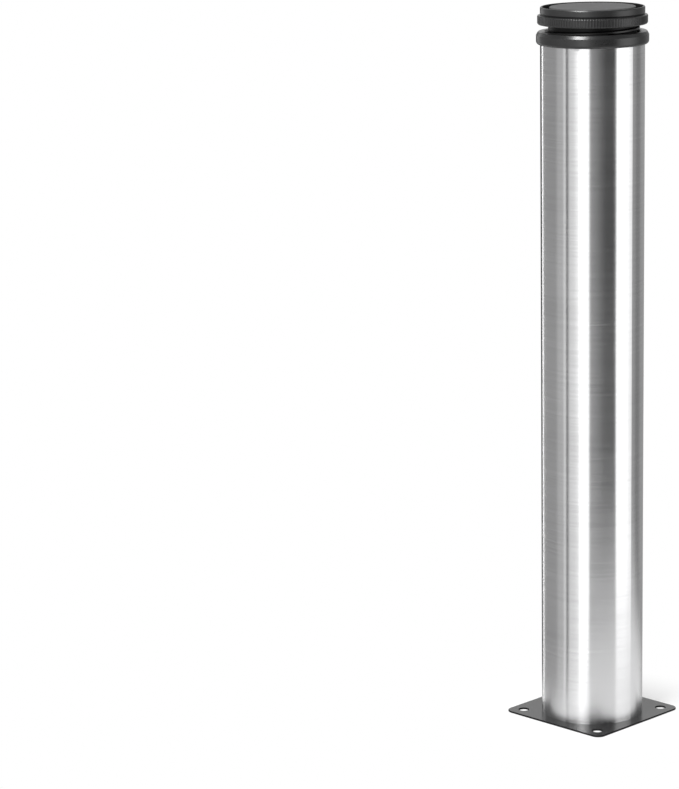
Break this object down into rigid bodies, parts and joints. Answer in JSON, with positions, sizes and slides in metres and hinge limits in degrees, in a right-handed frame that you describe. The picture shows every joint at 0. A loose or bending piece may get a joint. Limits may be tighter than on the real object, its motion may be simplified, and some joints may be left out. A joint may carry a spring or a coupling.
{
  "type": "height adjustable table leg",
  "caption": "Round tubular table leg with a square screw-on mounting plate at one end and a threaded, screw-adjustable foot with a floor disc at the other.",
  "frame": {"origin": "centre of the mounting plate's outer face, the face that meets the table top", "axes": "+Z along the tube from the mounting plate to the foot; X and Y along the plate's sides"},
  "size_m": [0.074, 0.074, 0.4216],
  "materials": {
    "plate_coating": "satin black powder coat",
    "zinc_screw": "bright zinc plated",
    "zinc_washer": "bright zinc plated",
    "plain_steel": "plain steel",
    "pressed_steel": "plain pressed steel",
    "brushed_tube": "stainless steel, brushed round the tube",
    "socket_plastic": "satin moulded black",
    "foot_plastic": "satin moulded black, ribbed grip",
    "disc_plastic": "matt dark grey"
  },
  "bodies": {
    "leg": {"mounting_plate": "plate_coating", "centre_screw": "zinc_screw", "lock_washer": "zinc_washer", "weld_nut": "plain_steel", "tube_insert": "pressed_steel", "leg_tube": "brushed_tube", "foot_socket": "socket_plastic"},
    "disc": {"foot_disc": "disc_plastic"},
    "foot": {"foot_body": "foot_plastic"}
  },
  "joints": [
    {"name": "foot_height", "type": "slide", "parent": "leg", "child": "disc", "axis": [0, 0, 1], "range_m": [-0.0038, 0.016]},
    {"name": "foot_turn", "type": "hinge", "parent": "disc", "child": "foot", "pos_m": [0, 0, 0.4115], "axis": [0, 0, 1], "range_deg": [-270, 1152]}
  ],
  "couplings": [
    {"joint": "foot_height", "follows": "foot_turn", "m_per_rad": 0.00079577}
  ]
}
